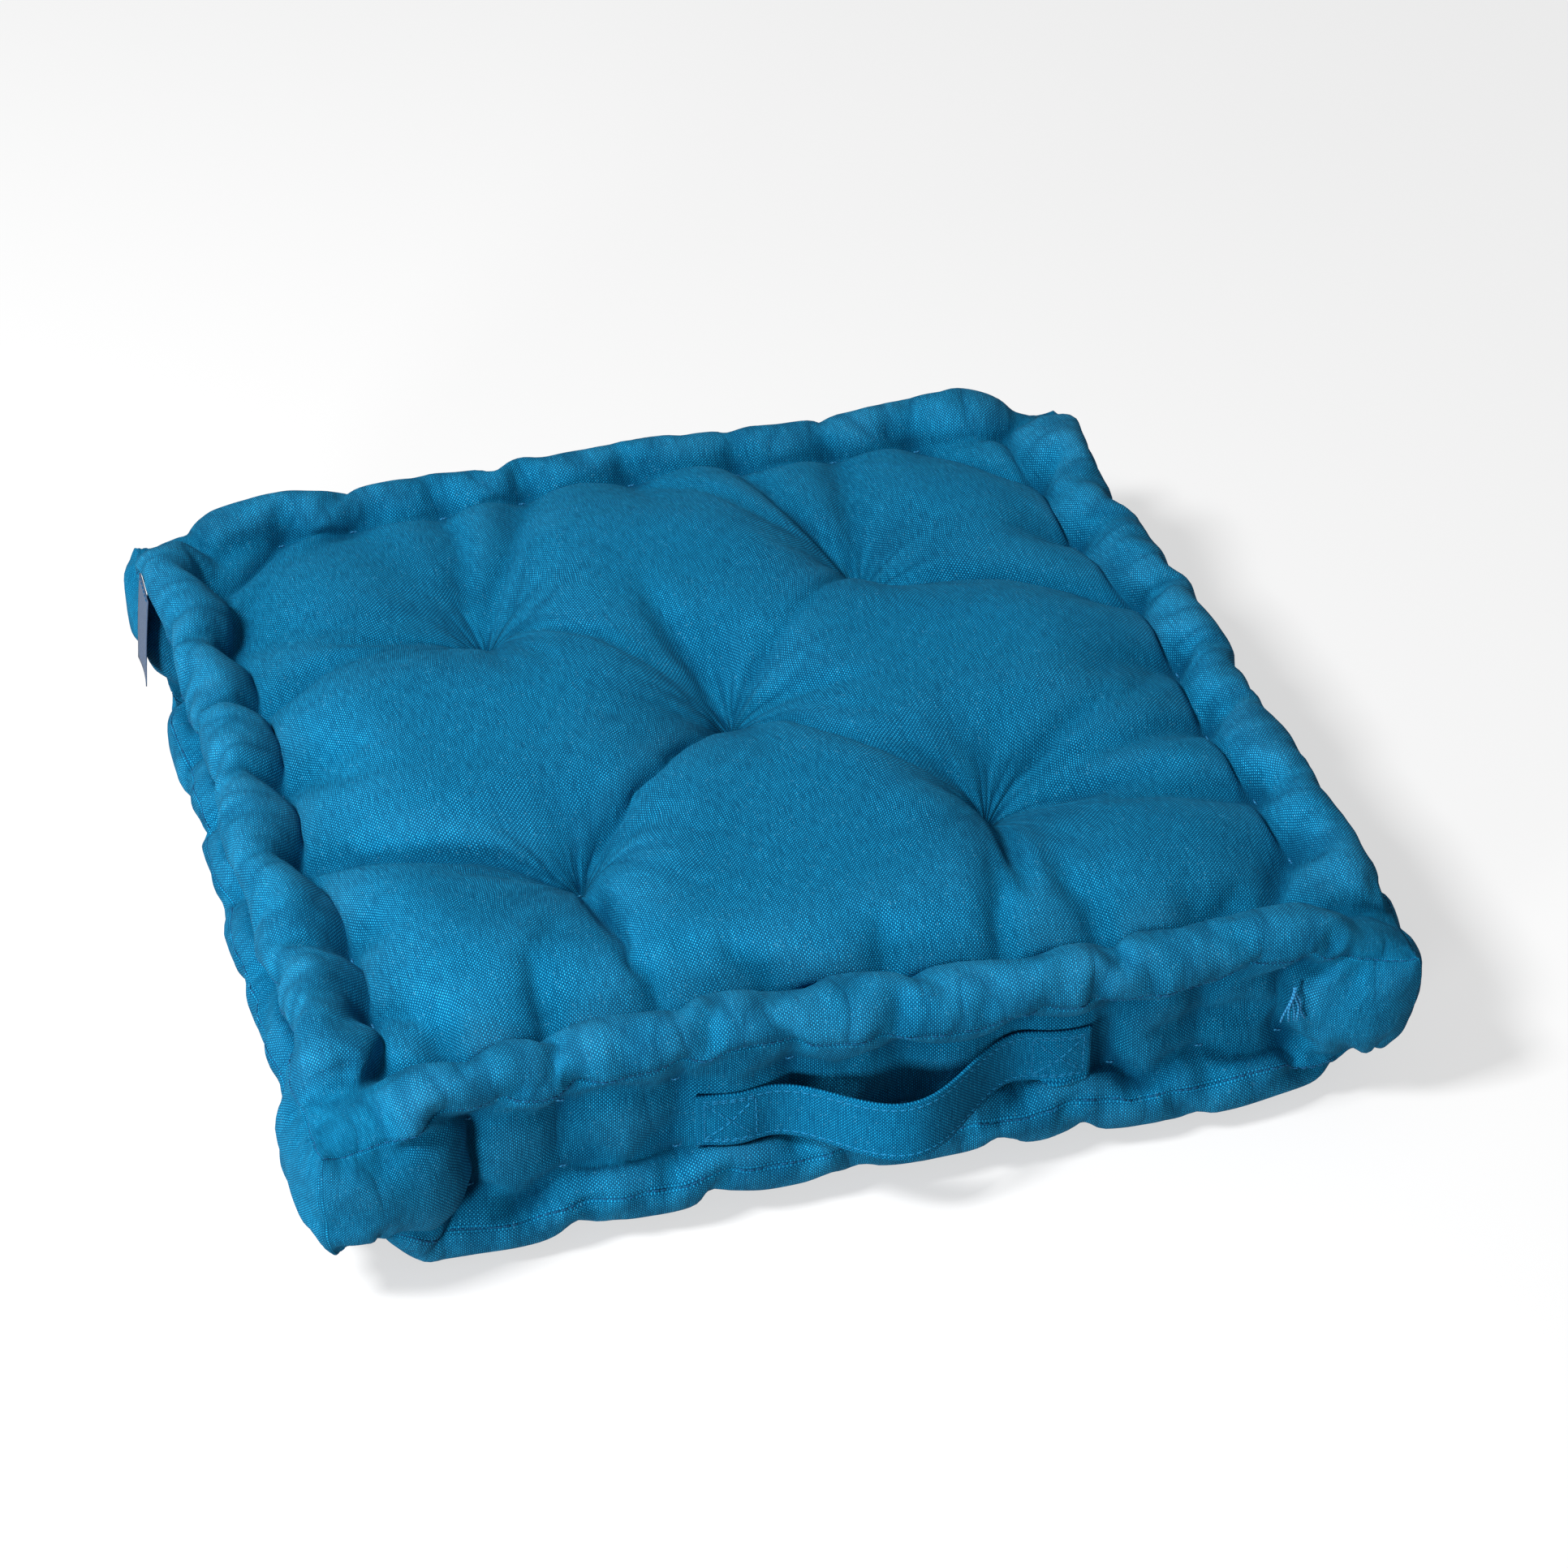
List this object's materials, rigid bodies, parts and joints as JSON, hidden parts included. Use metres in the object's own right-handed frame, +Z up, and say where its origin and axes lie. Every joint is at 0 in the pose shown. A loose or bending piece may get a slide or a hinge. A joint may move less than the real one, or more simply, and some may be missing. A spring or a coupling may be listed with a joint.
{
  "type": "floor cushion",
  "caption": "Square tufted floor cushion with hand-rolled edges above and below, a stitched side band, a sewn strap handle on the front and a small blank label on the left side.",
  "frame": {"origin": "middle of the flat underside, on the surface that the cushion lies on", "axes": "+X right along the front, +Y from the front with the handle to the back, +Z up"},
  "size_m": [0.4509, 0.4692, 0.1],
  "materials": {
    "canvas": "matt plain-weave cotton",
    "strap": "matt folded cotton canvas",
    "wadding": "loose fibre wadding",
    "seam_thread": "sewing thread",
    "tuft_thread": "twisted cotton twine",
    "topstitch": "polyester topstitching thread",
    "label": "blank woven label",
    "satin": "blank white satin tape"
  },
  "bodies": {
    "cushion": {"core_filling": "wadding", "top_roll_filling": "wadding", "bottom_roll_filling": "wadding", "top_panel": "canvas", "bottom_panel": "canvas", "side_band": "canvas", "top_seam_thread": "seam_thread", "bottom_seam_thread": "seam_thread", "band_join_thread": "seam_thread", "closing_stitches": "seam_thread", "top_roll_stitches": "tuft_thread", "bottom_roll_stitches": "tuft_thread", "tuft_thread_centre": "tuft_thread", "tuft_thread_front_left": "tuft_thread", "tuft_thread_front_right": "tuft_thread", "tuft_thread_back_left": "tuft_thread", "tuft_thread_back_right": "tuft_thread", "handle_left_end": "strap", "handle_right_end": "strap", "handle_left_stitching": "topstitch", "handle_right_stitching": "topstitch", "label_stitches": "seam_thread"},
    "handle": {"handle_loop": "strap", "handle_loop_stitching": "topstitch"},
    "labels": {"side_label": "label", "care_label": "satin"},
    "tails": {"thread_tails": "tuft_thread"}
  },
  "joints": [
    {"name": "handle_lift", "type": "hinge", "parent": "cushion", "child": "handle", "pos_m": [0.01, -0.216, 0.048], "axis": [-1, 0, 0], "range_deg": [0, 40]},
    {"name": "label_swing", "type": "hinge", "parent": "cushion", "child": "labels", "pos_m": [-0.2256, 0.172, 0.084], "axis": [0, 1, 0], "range_deg": [0, 120]},
    {"name": "tails_swing", "type": "hinge", "parent": "cushion", "child": "tails", "pos_m": [0.174, -0.2168, 0.0655], "axis": [-1, 0, 0], "range_deg": [0, 80]}
  ]
}
